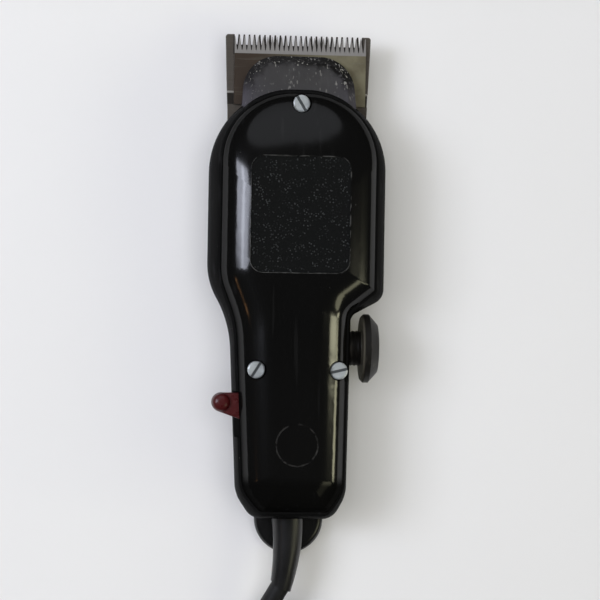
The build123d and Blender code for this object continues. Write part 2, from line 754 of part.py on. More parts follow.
write("contact_bridge", block(bridge_left_x, bridge_left_x + bridge_length,
                              lever_pivot_y - bridge_width / 2, lever_pivot_y + bridge_width / 2,
                              bridge_low_z, lever_low_z))
contact_high_z = bridge_low_z - contact_gap
contact_right_x = bridge_left_x + bridge_length
base_high_z = floor_thickness + base_thickness
contacts = []
for place in (0, 1):
    y = lever_pivot_y + place * contact_spread
    low_y = y - contact_width / 2
    high_y = y + contact_width / 2
    strip = block(contact_right_x - contact_thickness, contact_right_x, low_y, high_y,
                  base_high_z, contact_high_z)
    strip += block(contact_right_x - contact_fold, contact_right_x, low_y, high_y,
                   contact_high_z - contact_thickness, contact_high_z)
    contacts.append(strip)
write("switch_contacts", Compound(contacts))
base_rear_y = lever_pivot_y - contact_width / 2 - base_margin
base_front_y = lever_pivot_y + contact_spread + contact_width / 2
base_plan = RectangleRounded(contact_fold + base_margin, base_front_y - base_rear_y, 1.0)
base_plan = Pos(contact_right_x - contact_fold / 2, (base_front_y + base_rear_y) / 2) * base_plan
write("switch_base", extrude(Pos(0, 0, floor_thickness) * base_plan, amount=base_thickness))

# Lead wires: from the winding to the switch base and to the cord, and from the switch base to the cord
winding_left_x = core_left_x - winding_depth
wire_start_y = bobbin_rear_y - wire_radius
flange_front_y = tail_y + wall + relief_flange_ahead + relief_flange
wire_end_y = flange_front_y + wire_radius
base_wire_x = contact_right_x - contact_fold
base_wire_z = floor_thickness + base_thickness / 2
wire_routes = [
    [(winding_left_x + 0.4, wire_start_y, 14), (-17.5, -2, 12), (-9, -16, 8), (-6, -24, 6.5),
     (base_wire_x, base_front_y + wire_radius, base_wire_z)],
    [(winding_left_x + 0.4, wire_start_y, 18), (-17, -4, 14), (-7, -16, 12), (-7, -23.5, 12),
     (-13.6, -31, 15), (-13.6, -43, 15), (relief_x - 2.4, -58, relief_z),
     (relief_x - 2, wire_end_y, relief_z)],
    [(base_wire_x, base_rear_y - wire_radius, base_wire_z), (1, -50, 6), (relief_x + 2.4, -58, relief_z - 1),
     (relief_x + 2, wire_end_y, relief_z)],
]


def tube(path, section):
    """The section carried along the path from its start, square to it."""
    start = Plane(origin=path @ 0, z_dir=path % 0)
    return sweep(start * section, path=path)


write("lead_wires", Compound([
    tube(FilletPolyline(*route, radius=wire_bend), Circle(wire_radius)) for route in wire_routes
]))

# Strain relief: a flange inside the wall, then a tapered sleeve that bends over with the cord
lead_start = Vector(relief_x - 1.6, tail_y - 22.3, relief_z - 1.1)
lead_route = [lead_start]
for run in lead_runs:
    lead_route.append(lead_route[-1] + Vector(*run))
relief = Pos(relief_x, (flange_front_y + tail_y) / 2, relief_z) * Rot(90, 0, 0)
relief *= Cylinder(relief_radius, flange_front_y - tail_y)
flange = Pos(relief_x, flange_front_y - relief_flange / 2, relief_z) * Rot(90, 0, 0)
relief += flange * Cylinder(relief_flange_radius, relief_flange)
sleeve = [
    Plane(origin=(relief_x, tail_y, relief_z), x_dir=(1, 0, 0), z_dir=(0, -1, 0)) * Circle(relief_radius),
    Plane(origin=(relief_x, tail_y - 11.7, relief_z - 0.1), x_dir=(1, 0, 0), z_dir=(-0.12, -0.99, -0.03))
    * Circle(relief_mid_radius),
    Plane(origin=lead_start, x_dir=(1, 0, 0), z_dir=lead_route[1] - lead_route[0])
    * Circle(relief_end_radius),
]
write("strain_relief", relief + loft(sleeve))

# Cord lead: the free stretch from the sleeve down to the coil
lead_path = FilletPolyline(*lead_route, radius=lead_bend)
cord_lead = tube(lead_path, Circle(cord_radius))
write("cord_lead", cord_lead)

# Cord coil: layers wound inwards and outwards in turn, each lying on the one below
coil_start = lead_route[-1]
coil_outer = coil_mid_radius + coil_step * coil_turns_per_layer / 2
coil_inner = coil_mid_radius - coil_step * coil_turns_per_layer / 2
coil_centre = Vector(coil_start.X + coil_outer, coil_start.Y, 0)
reversals = [coil_turns_per_layer * layer for layer in (1, 2, 3)]
climbs = [reversals[0], reversals[1], reversals[2] + 0.1]
plug_z = coil_start.Z + 2 * coil_step + cord_radius + plug_lift + plug_thickness / 2


def climb(turn, middle):
    """How much of a climb of half a turn is done: nothing before it, all after it, a smooth wave between."""
    share = min(max((turn - middle + 0.25) / 0.5, 0), 1)
    return (1 - cos(pi * share)) / 2


def coil_place(turn):
    """Where the cord's middle is after so many turns: radius falls and grows by one step a turn."""
    settled = min(turn, reversals[-1])
    within = settled % (2 * coil_turns_per_layer)
    radius = coil_inner + coil_step * abs(coil_turns_per_layer - within)
    height = coil_start.Z + coil_step * sum(climb(turn, middle) for middle in climbs)
    height += (plug_z - coil_start.Z - len(reversals) * coil_step) * climb(turn, coil_end_turn - 0.25)
    angle = pi + 2 * pi * turn
    return coil_centre + Vector(radius * cos(angle), radius * sin(angle), height)


def coil_heading(turn):
    """Unit vector along the cord there."""
    nudge = 0.001
    return (coil_place(turn + nudge) - coil_place(turn - nudge)).normalized()


def biarc(start, start_way, end, end_way):
    """Two arcs that meet smoothly and leave and arrive along the two given ways."""
    chord = end - start
    both = start_way + end_way
    bend = 2 * (start_way.dot(end_way) - 1)
    reach = chord.dot(both)
    arm_length = (reach - sqrt(reach * reach - bend * chord.dot(chord))) / bend
    first = start + start_way * arm_length
    second = end - end_way * arm_length
    joint = (first + second) / 2
    return [
        TangentArc(start, joint, tangent=start_way),
        TangentArc(joint, end, tangent=second - first),
    ]


coil_stations = [0.25 * i for i in range(round(coil_end_turn / 0.25) + 1)]
coil_ways = [coil_heading(turn) for turn in coil_stations]
coil_ways[0] = (lead_path % 1).normalized()
coil_ways[-1] = Vector(1, 0, 0)
coil_edges = []
for i in range(len(coil_stations) - 1):
    coil_edges += biarc(coil_place(coil_stations[i]), coil_ways[i],
                        coil_place(coil_stations[i + 1]), coil_ways[i + 1])
coil_end = coil_place(coil_end_turn)
plug_start = coil_end + Vector(2 * cord_radius, 0, 0)
coil_edges.append(Line(coil_end, plug_start))
coil_path = Wire(coil_edges)
cord_section = RegularPolygon(cord_radius, 8)
cord_coil = tube(coil_path, cord_section)
write("cord_coil", cord_coil)

# Tie: one band round the bundle
tie_sag = (tie_width / 2) ** 2 / (2 * (coil_inner - cord_radius))
tie_low = coil_inner - cord_radius - tie_gap - tie_sag
tie_high = coil_outer + cord_radius + tie_gap
tie_base_z = coil_start.Z - cord_radius - tie_gap
tie_roof_z = coil_start.Z + len(reversals) * coil_step + cord_radius + tie_gap
tie_x = coil_centre.X
tie = block(tie_x - tie_width / 2, tie_x + tie_width / 2,
            coil_centre.Y + tie_low - tie_thickness, coil_centre.Y + tie_high + tie_thickness,
            tie_base_z - tie_thickness, tie_roof_z + tie_thickness)
tie = fillet(tie.edges().filter_by(Axis.X), 2 * tie_thickness)
tie -= block(tie_x - tie_width / 2, tie_x + tie_width / 2, coil_centre.Y + tie_low, coil_centre.Y + tie_high,
             tie_base_z, tie_roof_z)
write("cord_tie", tie)

# Plug: a moulded body lying on the coil, with its neck and two flat prongs
neck = Plane(origin=plug_start, x_dir=(0, 1, 0), z_dir=(1, 0, 0))
neck_cone = loft([neck * Circle(cord_radius + 0.8), neck.offset(plug_neck) * Circle(plug_neck_radius)])
body_x = plug_start.X + plug_neck
plug = Box(plug_length, plug_width, plug_thickness)
plug = Pos(body_x + plug_length / 2, plug_start.Y, plug_start.Z) * plug
plug = fillet(plug.edges().filter_by(Axis.Z), 5.0)
plug = fillet(plug.edges().group_by(Axis.Z)[0] + plug.edges().group_by(Axis.Z)[-1], 2.0)
write("plug_body", plug + neck_cone)
prong_x = body_x + plug_length
write("plug_prongs", Compound([
    chamfer(
        block(prong_x, prong_x + prong_length, plug_start.Y + side * prong_spacing / 2 - prong_thickness / 2,
              plug_start.Y + side * prong_spacing / 2 + prong_thickness / 2,
              plug_start.Z - prong_width / 2, plug_start.Z + prong_width / 2)
        .edges().group_by(Axis.X)[-1].filter_by(Axis.Z), 0.4)
    for side in (-1, 1)
]))

# What the tubes measure
lead_bends = [edge for edge in lead_path.edges() if edge.geom_type == GeomType.CIRCLE]
print("lead radii", [round(edge.radius, 1) for edge in lead_bends])
print("lead volume", cord_lead.volume, "by length", pi * cord_radius ** 2 * lead_path.length)
print("coil least radius", min(edge.radius for edge in coil_edges[:-1]))
print("coil volume", cord_coil.volume, "by length", cord_section.area * coil_path.length)
print("cord length", lead_path.length + coil_path.length)
samples = [tuple(edge @ (k / 8)) for edge in coil_edges for k in range(8)]
apart = 24
least = min(
    hypot(a[0] - b[0], a[1] - b[1], a[2] - b[2])
    for i, a in enumerate(samples) for b in samples[i + apart:]
)
print("coil least gap between turns", least - 2 * cord_radius)
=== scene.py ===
import math
import bmesh
import bpy
import numpy as np
from mathutils import Matrix, Vector


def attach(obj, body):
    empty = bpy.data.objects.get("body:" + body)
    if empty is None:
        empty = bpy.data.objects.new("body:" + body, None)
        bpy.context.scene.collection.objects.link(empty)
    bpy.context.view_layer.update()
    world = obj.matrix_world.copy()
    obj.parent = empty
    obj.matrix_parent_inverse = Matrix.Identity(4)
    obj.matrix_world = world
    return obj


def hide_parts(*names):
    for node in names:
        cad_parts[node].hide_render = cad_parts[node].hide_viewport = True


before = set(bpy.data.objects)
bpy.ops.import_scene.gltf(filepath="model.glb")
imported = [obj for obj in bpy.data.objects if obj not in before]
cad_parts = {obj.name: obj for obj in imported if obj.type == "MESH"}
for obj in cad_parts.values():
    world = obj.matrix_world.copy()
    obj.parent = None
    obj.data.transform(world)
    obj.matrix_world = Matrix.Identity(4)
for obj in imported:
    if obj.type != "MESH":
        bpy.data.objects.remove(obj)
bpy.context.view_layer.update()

# Camera: it looks down on the clipper from a little to the left of overhead. It stands about two
# thirds of a metre away and is turned one degree, as the photograph was.
aim = Vector((0.0019, -0.0013, 0.015))
camera_distance = 0.650
camera_lean = math.radians(4.6)
camera_turn = math.radians(1.0)
seen_width = 0.1935
sensor_width = 36.0
camera_data = bpy.data.cameras.new("camera")
camera_data.sensor_width = sensor_width
camera_data.lens = sensor_width * camera_distance / seen_width
camera_data.clip_start = 0.01
camera = bpy.data.objects.new("camera", camera_data)
bpy.context.scene.collection.objects.link(camera)
camera_back = Vector((-math.sin(camera_lean), 0.0, math.cos(camera_lean)))
camera_up = Vector((-math.sin(camera_turn), math.cos(camera_turn), 0.0))
camera_right = camera_up.cross(camera_back).normalized()
camera_up = camera_back.cross(camera_right)
camera_axes = Matrix((camera_right, camera_up, camera_back)).transposed().to_4x4()
camera.matrix_world = Matrix.Translation(aim + camera_back * camera_distance) @ camera_axes
bpy.context.scene.camera = camera


# Cord: a round black rubber-sheathed mains lead. It leaves the sleeve, falls to the table and is wound
# into a neat coil of three layers and a half turn, on which the plug lies.
cord_radius = 0.00315
lead_start = np.array((-0.0026, -0.0936, 0.0129))
lead_steps = np.array((
    (0.0, 0.0, 0.0),
    (-0.0070, -0.0125, -0.0024),
    (-0.0145, -0.0250, -0.0059),
    (-0.0190, -0.0390, -0.0081),
    (-0.0202, -0.0530, -0.00845),
))
coil_step = 0.00675
coil_mid = 0.0325
coil_layers = 3
layer_turns = 2.5
end_turn = 8.25
climb_turns = 0.5
last_climb_delay = 0.1
plug_height = 0.0284
points_per_turn = 16
inner_radius = coil_mid - coil_step * layer_turns / 2
outer_radius = coil_mid + coil_step * layer_turns / 2
lead_points = lead_start + lead_steps
coil_x = lead_points[-1][0] + outer_radius
coil_y = lead_points[-1][1]
coil_z = lead_points[-1][2]


def coil_points(turns):
    """Points of the coil by turn: the radius falls and grows by one step a turn, and the height climbs one
    step in a smooth half wave at each change of layer, and in the end to the plug. The points stand a
    little outside the turn, because the spline cuts inside them."""
    settled = np.minimum(turns, coil_layers * layer_turns)
    radius = inner_radius + coil_step * np.abs(layer_turns - settled % (2 * layer_turns))

    def climbed(middle):
        share = np.clip((turns - middle + climb_turns / 2) / climb_turns, 0, 1)
        return (1 - np.cos(np.pi * share)) / 2

    changes = layer_turns * np.arange(1, coil_layers + 1)
    changes[-1] += last_climb_delay
    height = coil_z + coil_step * sum(climbed(change) for change in changes)
    last_climb = plug_height - coil_z - coil_layers * coil_step
    height = height + last_climb * climbed(end_turn - climb_turns / 2)
    reach = radius / math.cos(math.pi / points_per_turn)
    angle = np.pi + 2 * np.pi * turns
    return np.column_stack((coil_x + reach * np.cos(angle), coil_y + reach * np.sin(angle), height))


wound = coil_points(np.arange(0.5, end_turn * points_per_turn) / points_per_turn)
coil_end = np.array((coil_x, coil_y - inner_radius, plug_height))
tail = coil_end + np.array(((0.0, 0.0, 0.0), (2 * cord_radius, 0.0, 0.0)))
route = np.vstack((lead_points[:-1], wound, tail))
cord_curve = bpy.data.curves.new("mains_cord", "CURVE")
cord_curve.dimensions = "3D"
cord_curve.bevel_depth = cord_radius
cord_curve.bevel_resolution = 5
cord_curve.resolution_u = 4
cord_spline = cord_curve.splines.new("NURBS")
cord_spline.points.add(len(route) - 1)
cord_spline.points.foreach_set("co", np.column_stack((route, np.ones(len(route)))).ravel())
cord_spline.order_u = 3
cord_spline.use_endpoint_u = True
cord_spline.use_smooth = True


class Shade:
    """A value in a finish: one output of a node. Sums and products of such values add Math nodes."""

    def __init__(self, tree, socket):
        self.tree = tree
        self.socket = socket

    def join(self, socket, value):
        """Links another value to the socket, or sets it to a plain number, colour or vector."""
        if isinstance(value, Shade):
            self.tree.links.new(value.socket, socket)
        else:
            socket.default_value = value

    def make(self, kind, settings, values, output=0):
        """Adds one node: first its settings, then the values or links of its sockets. Gives an output."""
        node = self.tree.nodes.new("ShaderNode" + kind)
        for name, value in settings.items():
            setattr(node, name, value)
        for name, value in values.items():
            self.join(node.inputs[name], value)
        return Shade(self.tree, node.outputs[output])

    def __add__(self, other):
        return self.make("Math", {"operation": "ADD"}, {0: self, 1: other})

    def __sub__(self, other):
        return self.make("Math", {"operation": "SUBTRACT"}, {0: self, 1: other})

    def __rsub__(self, other):
        return self.make("Math", {"operation": "SUBTRACT"}, {0: other, 1: self})

    def __mul__(self, other):
        return self.make("Math", {"operation": "MULTIPLY"}, {0: self, 1: other})

    __radd__ = __add__
    __rmul__ = __mul__

    def along(self, axis):
        """One coordinate of the place: X to the right, Y towards the blades or Z up."""
        return self.make("SeparateXYZ", {}, {"Vector": self}, axis)

    def noise(self, scale, detail, stretch=(1.0, 1.0, 1.0), turn=0.0):
        """Cloudy noise over the place, so many clouds to the metre, turned flat. A stretch below one draws
        the clouds out along that axis."""
        mapping = {"Vector": self, "Scale": stretch, "Rotation": (0.0, 0.0, turn)}
        place = self.make("Mapping", {}, mapping)
        return self.make("TexNoise", {}, {"Vector": place, "Scale": scale, "Detail": detail})

    def bands(self, scale, direction, wander):
        """Even bands one after another in a direction, made a little unsteady by wander."""
        values = {"Vector": self, "Scale": scale, "Distortion": wander}
        return self.make("TexWave", {"bands_direction": direction}, values)

    def specks(self, scale, size):
        """One where a small round speck lies, scattered so many to the metre."""
        cells = self.make("TexVoronoi", {}, {"Vector": self, "Scale": scale})
        return 1 - cells.rise(0.6 * size, size)

    def rise(self, low, high):
        """Zero below low, one above high, and a smooth rise between."""
        settings = {"interpolation_type": "SMOOTHSTEP"}
        return self.make("MapRange", settings, {"Value": self, "From Min": low, "From Max": high})

    def within(self, low, high, fade):
        """One between low and high. Each end fades over that length to either side of it."""
        return self.rise(low - fade, low + fade) * (1 - self.rise(high - fade, high + fade))

    def mix(self, below, above):
        """From colour below at zero to colour above at one, by the colour sockets of a Mix node."""
        return self.make("Mix", {"data_type": "RGBA"}, {0: self, 6: below, 7: above}, 2)

    def tint(self, low, high):
        """From colour low at zero to colour high at one, both plain."""
        return self.mix((*low, 1), (*high, 1))

    def over(self, below, colour):
        """The plain colour laid over what is below where this is one."""
        return self.mix(below, (*colour, 1))


def new_finish(name, **constants):
    """A finish on the piece's own coordinates: the material, the place on the piece, and a call that
    feeds the shader's sockets. Constants are set once, all over the surface."""
    material = bpy.data.materials.new(name)
    material.use_nodes = True
    tree = material.node_tree
    shader = tree.nodes["Principled BSDF"]
    for socket, value in constants.items():
        shader.inputs[socket.replace("_", " ")].default_value = value
    start = Shade(tree, tree.nodes.new("ShaderNodeTexCoord").outputs["Object"])

    def feed(colour, roughness, height, depth, coat=0.0):
        """Colour, roughness and coat over the surface, and a relief of the given depth in metres."""
        start.join(shader.inputs["Base Color"], colour)
        start.join(shader.inputs["Roughness"], roughness)
        relief = start.make("Bump", {}, {"Height": height, "Distance": depth, "Strength": 1.0})
        start.join(shader.inputs["Normal"], relief)
        start.join(shader.inputs["Coat Weight"], coat)

    return material, start, feed


def dress(material, *nodes):
    """Puts the finish on pieces of the frame."""
    for node in nodes:
        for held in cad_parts[node].material_slots:
            held.material = material


cord_black = (0.007, 0.007, 0.0075)
cord_bloom = (0.016, 0.016, 0.0165)
cord_rubber, place, feed = new_finish("cord_rubber", Specular_IOR_Level=0.3)
bloom = place.noise(160, 4)
grain = place.noise(2600, 2)
feed(bloom.tint(cord_black, cord_bloom), bloom * 0.16 + 0.42, grain, depth=0.00006)
cord_curve.materials.append(cord_rubber)
cord = bpy.data.objects.new("mains_cord", cord_curve)
bpy.context.scene.collection.objects.link(cord)
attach(cord, "housing")
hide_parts("cord_lead", "cord_coil")


# Strain relief, plug and tie: a tapered rubber sleeve pressed into the tail, a moulded flat plug
# with two folded brass prongs, and a soft plastic band that holds the coil.
sleeve_black = (0.006, 0.006, 0.006)
sleeve_bloom = (0.014, 0.014, 0.0145)
sleeve_rubber, place, feed = new_finish("sleeve_rubber", Specular_IOR_Level=0.4)
bloom = place.noise(120, 4)
grain = place.noise(1800, 2)
feed(bloom.tint(sleeve_black, sleeve_bloom), bloom * 0.16 + 0.24, grain, depth=0.00005)
dress(sleeve_rubber, "strain_relief", "plug_body")
band_black = (0.020, 0.020, 0.020)
band_haze = (0.045, 0.045, 0.045)
band_plastic, place, feed = new_finish("band_plastic")
haze = place.noise(300, 3)
ribs = place.noise(700, 2, stretch=(1.0, 1.0, 6.0))
feed(haze.tint(band_black, band_haze), haze * 0.15 + 0.45, ribs, depth=0.00004)
band_half_width = 0.0042
band_thickness = 0.0009
band_slack = 0.0002
band_turn = 0.75
band_around = 180


def put_mesh(name, grid, body, material):
    """A smooth mesh from a grid of points: rows along one parameter, columns along the other and joined
    round. A row whose points coincide becomes a pole."""
    rows, columns = grid.shape[:2]
    index = np.arange(rows * columns).reshape(rows, columns)
    right = np.roll(index, -1, axis=1)
    faces = np.stack((index[:-1], right[:-1], right[1:], index[1:]), axis=-1).reshape(-1, 4)
    mesh = bpy.data.meshes.new(name)
    mesh.from_pydata(grid.reshape(-1, 3).tolist(), [], faces.tolist())
    merged = bmesh.new()
    merged.from_mesh(mesh)
    bmesh.ops.remove_doubles(merged, verts=merged.verts, dist=1e-7)
    bmesh.ops.recalc_face_normals(merged, faces=merged.faces)
    merged.to_mesh(mesh)
    merged.free()
    mesh.polygons.foreach_set("use_smooth", np.ones(len(mesh.polygons), bool))
    mesh.materials.append(material)
    piece = bpy.data.objects.new(name, mesh)
    bpy.context.scene.collection.objects.link(piece)
    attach(piece, body)
    return piece


def band_surface():
    """A flat band round the bundle. At each angle of its loop it lies on the turn that reaches furthest
    that way, a cord's radius out. Its rounded cross-section bends along the coil."""
    crossing = coil_points(np.arange(band_turn, end_turn, 1.0))
    crossing[:, 1] = coil_y + (crossing[:, 1] - coil_y) * math.cos(math.pi / points_per_turn)
    angle = np.linspace(0, 2 * np.pi, band_around)
    way = np.stack((np.cos(angle), np.sin(angle)), axis=-1)
    furthest = crossing[:, 1:][np.argmax(way @ crossing[:, 1:].T, axis=1)]
    side = np.array((-1.0, -0.9, 0.9, 1.0, 1.0, 0.9, -0.9, -1.0)) * band_half_width
    out = np.array((0.8, 1.0, 1.0, 0.8, 0.2, 0.0, 0.0, 0.2)) * band_thickness
    reach = cord_radius + band_slack + out[None, :, None]
    loop = furthest[:, None, :] + way[:, None, :] * reach
    across = loop[..., 0] - side ** 2 / (2 * coil_mid)
    return np.stack((np.broadcast_to(coil_x + side, across.shape), across, loop[..., 1]), axis=-1)


band = put_mesh("cord_band", band_surface(), "housing", band_plastic)
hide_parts("cord_tie")
prong_tarnish = (0.46, 0.34, 0.15)
prong_bright = (0.66, 0.54, 0.30)
prong_brass, place, feed = new_finish("prong_brass", Metallic=1.0)
tone = place.noise(400, 4)
drawn = place.noise(900, 2, stretch=(0.1, 1.0, 1.0))
feed(tone.tint(prong_tarnish, prong_bright), tone * 0.2 + 0.25, drawn, depth=0.00002)
dress(prong_brass, "plug_prongs")


# Lower housing: a black moulded phenolic shell, dulled along its rim by handling and finely scuffed
# lengthwise. The belly and the heel under the cord have kept more of their gloss.
heel_front = -0.0720
heel_fade = 0.0025
belly_low = 0.0110
belly_top = 0.0190
shell_black = (0.004, 0.004, 0.0045)
shell_handled = (0.009, 0.009, 0.0085)
shell_scuff = (0.022, 0.022, 0.023)
shell_dust = (0.10, 0.10, 0.095)
housing_black, place, feed = new_finish("housing_black", Specular_IOR_Level=0.0, Coat_Roughness=0.22)
handled = place.noise(45, 5)
scuffs = place.noise(500, 4, stretch=(1.0, 0.15, 1.0))
dust = place.specks(420, 0.07) * place.noise(90, 2).rise(0.5, 0.7)
worn = scuffs.rise(0.58, 0.74) * 0.5
heel = 1 - place.along("Y").rise(heel_front - heel_fade, heel_front)
belly = 1 - place.along("Z").rise(belly_low, belly_top)
colour = handled.tint(shell_black, shell_handled)
colour = worn.over(colour, shell_scuff)
feed(dust.over(colour, shell_dust), handled * 0.22 + worn * 0.2 + 0.26, scuffs, depth=0.00004,
     coat=heel * 0.7 + (1 - heel) * belly * 0.45 + 0.12)
dress(housing_black, "lower_housing")


# Drive inside the housing: a laminated magnet core with its wound bobbin, and a steel arm that swings
# on a pin between two flat springs. The metal parts are plain and oiled.
core_dark = (0.16, 0.15, 0.14)
core_bright = (0.34, 0.33, 0.32)
lamination, place, feed = new_finish("lamination_steel", Metallic=1.0)
sheets = place.bands(320.0, "Z", 0.4)
oil = place.noise(200, 4)
feed(oil.tint(core_dark, core_bright), oil * 0.3 + 0.3, sheets, depth=0.0001)
dress(lamination, "stator_core", "armature_stack")
arm_dark = (0.30, 0.29, 0.28)
arm_bright = (0.52, 0.52, 0.52)
drawn_steel, place, feed = new_finish("drawn_steel", Metallic=1.0)
oil = place.noise(150, 4)
drawn = place.noise(1200, 2, stretch=(1.0, 0.08, 1.0))
feed(oil.tint(arm_dark, arm_bright), oil * 0.25 + 0.22, drawn, depth=0.00003)
dress(drawn_steel, "drive_arm", "armature_rivets", "pivot_pin", "pivot_washer", "switch_pivot_pin")
temper_blue = (0.20, 0.21, 0.26)
temper_straw = (0.42, 0.40, 0.37)
spring_blue, place, feed = new_finish("spring_steel", Metallic=1.0)
temper = place.noise(120, 3)
rolled = place.noise(1500, 2, stretch=(1.0, 0.1, 1.0))
feed(temper.tint(temper_blue, temper_straw), temper * 0.15 + 0.25, rolled, depth=0.00002)
dress(spring_blue, "return_springs", "tension_spring")
board_dark = (0.34, 0.26, 0.17)
board_pale = (0.50, 0.41, 0.29)
bobbin_board, place, feed = new_finish("bobbin_board")
fibre = place.noise(600, 4, stretch=(1.0, 1.0, 0.3))
feed(fibre.tint(board_dark, board_pale), fibre * 0.2 + 0.5, fibre, depth=0.00006)
dress(bobbin_board, "coil_bobbin")
copper_gap = (0.26, 0.08, 0.03)
copper_crown = (0.58, 0.25, 0.10)
wound_copper, place, feed = new_finish("wound_copper", Metallic=0.8)
strands = place.bands(700.0, "Y", 0.6)
feed(strands.tint(copper_gap, copper_crown), strands * 0.1 + 0.28, strands, depth=0.0002)
dress(wound_copper, "coil_winding")
sleeving_dark = (0.20, 0.18, 0.15)
sleeving_pale = (0.36, 0.34, 0.30)
wire_sleeve, place, feed = new_finish("wire_sleeve")
braid = place.noise(2200, 2)
feed(braid.tint(sleeving_dark, sleeving_pale), braid * 0.2 + 0.55, braid, depth=0.0001)
dress(wire_sleeve, "lead_wires")


# Switch: a maroon moulded lever with a domed button, turning on a pin, and the brass contacts
# that it bridges on a small dark base.
maroon_dark = (0.044, 0.0045, 0.0050)
maroon_flow = (0.064, 0.0075, 0.0080)
maroon_rubbed = (0.095, 0.018, 0.018)
lever_maroon, place, feed = new_finish("lever_maroon", Specular_IOR_Level=0.55)
flow = place.noise(220, 4)
rubbed = place.noise(900, 3).rise(0.55, 0.75) * 0.4
colour = rubbed.over(flow.tint(maroon_dark, maroon_flow), maroon_rubbed)
feed(colour, flow * 0.12 + rubbed * 0.2 + 0.22, place.noise(1500, 2), depth=0.00003)
dress(lever_maroon, "switch_lever")
cap_x = -0.02345
cap_y = -0.0340
cap_foot_z = 0.0259
cap_wall = 0.0009
cap_rise = 0.00185
cap_radius = 0.0029
cap_fullness = 0.85
cap_around = 56
cap_rows = 18


def cap_surface():
    """A domed button: a quarter of an ellipse, a little fuller at its shoulder, turned round an upright
    axis, on a short straight wall, with a flat foot inside the lever."""
    fall = np.linspace(0, np.pi / 2, cap_rows)
    radius = np.concatenate((np.sin(fall) ** cap_fullness, (1.0, 0.0))) * cap_radius
    height = np.concatenate((cap_wall + cap_rise * np.cos(fall), (0.0, 0.0))) + cap_foot_z
    turn = np.linspace(0, 2 * np.pi, cap_around, endpoint=False)[None, :]
    radius = radius[:, None]
    up = np.broadcast_to(height[:, None], (len(height), cap_around))
    return np.stack((cap_x + radius * np.cos(turn), cap_y + radius * np.sin(turn), up), axis=-1)


put_mesh("lever_cap", cap_surface(), "lever", lever_maroon)
contact_tarnish = (0.38, 0.26, 0.11)
contact_bright = (0.62, 0.48, 0.24)
contact_brass, place, feed = new_finish("contact_brass", Metallic=1.0)
tone = place.noise(350, 4)
drawn = place.noise(1300, 2, stretch=(0.1, 1.0, 1.0))
feed(tone.tint(contact_tarnish, contact_bright), tone * 0.25 + 0.25, drawn, depth=0.00002)
dress(contact_brass, "contact_bridge", "switch_contacts", "regulator_bush", "regulator_tip")
base_dark = (0.040, 0.022, 0.014)
base_pale = (0.075, 0.045, 0.030)
base_brown, place, feed = new_finish("base_brown")
flow = place.noise(500, 4)
feed(flow.tint(base_dark, base_pale), flow * 0.2 + 0.35, flow, depth=0.00004)
dress(base_brown, "switch_base")


# Power knob: a thick brown-black disc with bevelled edges on a threaded shank. Turning it screws the
# shank in or out against the spring. The thread shows between the disc and the housing, and the back
# of the disc is rubbed pale.
rubbed_from = 0.0210
rubbed_full = 0.0212
rubbed_fading = 0.0215
rubbed_until = 0.0221
knob_black = (0.005, 0.0044, 0.0040)
knob_handled = (0.010, 0.0092, 0.0078)
knob_rubbed = (0.085, 0.078, 0.060)
knob_nick = (0.040, 0.036, 0.030)
knob_dark, place, feed = new_finish("knob_dark", Specular_IOR_Level=0.3)
handled = place.noise(140, 5)
nicks = place.noise(700, 3, stretch=(1.0, 0.3, 0.3)).rise(0.56, 0.74) * 0.6
outward = place.along("X")
rubbed = outward.rise(rubbed_from, rubbed_full) * (1 - outward.rise(rubbed_fading, rubbed_until))
colour = handled.tint(knob_black, knob_handled)
colour = (rubbed * 0.8).over(colour, knob_rubbed)
feed(nicks.over(colour, knob_nick), handled * 0.2 + 0.36, place.noise(900, 3), depth=0.00008)
dress(knob_dark, "power_knob")
knob_axis_y = -0.0165
knob_axis_z = 0.0188
thread_root = 0.00536
thread_crest = 0.00566
thread_pitch = 0.00125
thread_start = 0.01725
thread_end = 0.0214
thread_around = 72
steps_per_pitch = 8


def thread_surface():
    """A V thread round the knob's axis: at each turn the radius rises and falls in straight flanks once
    a pitch, and the crest moves along with the angle. The first and last rows shrink to the axis."""
    along = np.arange(thread_start, thread_end, thread_pitch / steps_per_pitch)
    along = np.concatenate((along[:1], along, along[-1:]))[:, None]
    turn = np.linspace(0, 2 * np.pi, thread_around, endpoint=False)[None, :]
    wave = np.abs(((along / thread_pitch - turn / (2 * np.pi)) % 1.0) * 2 - 1)
    radius = thread_root + (thread_crest - thread_root) * wave
    radius[[0, -1]] = 0.0
    across = knob_axis_y + radius * np.cos(turn)
    up = knob_axis_z + radius * np.sin(turn)
    return np.stack((np.broadcast_to(along, radius.shape), across, up), axis=-1)


put_mesh("knob_thread", thread_surface(), "knob", knob_dark)


# Blades: two ground steel combs. The fixed one is grey-brown, stained towards its rear, with
# painted shade on its teeth, a dark notch at either side painted with grime and shade, and a
# painted highlight on the lip in front of each notch. The moving one is brown on its left and
# olive on its right, with a bright bevel behind its teeth. A pale nylon guide carries it.
blade_tip = 0.0839
teeth_half = 0.0210
teeth_depth = 0.0064
covered_half = 0.0201
edge_fade = 0.0002
notch_rear = 0.0615
notch_front = 0.0651
notch_fade = 0.0001
lip_y = 0.0654
lip_half = 0.00025
lip_fade = 0.00015
stain_rear = 0.062
stain_front = 0.074
comb_dark = (0.098, 0.086, 0.074)
comb_bright = (0.150, 0.132, 0.112)
comb_stain = (0.036, 0.027, 0.020)
comb_teeth_painted_shade = (0.022, 0.021, 0.020)
notch_grime_and_shade = (0.016, 0.014, 0.012)
lip_painted_highlight = (0.62, 0.60, 0.56)
comb_steel, place, feed = new_finish("comb_steel", Metallic=0.6)
grind = place.noise(1600, 3, stretch=(0.06, 1.0, 1.0))
stain = place.noise(110, 5).rise(0.42, 0.68)
across = place.along("X")
forward = place.along("Y")
rear = 1 - forward.rise(stain_rear, stain_front)
teeth_foot = blade_tip - teeth_depth
teeth = across.within(-teeth_half, teeth_half, edge_fade)
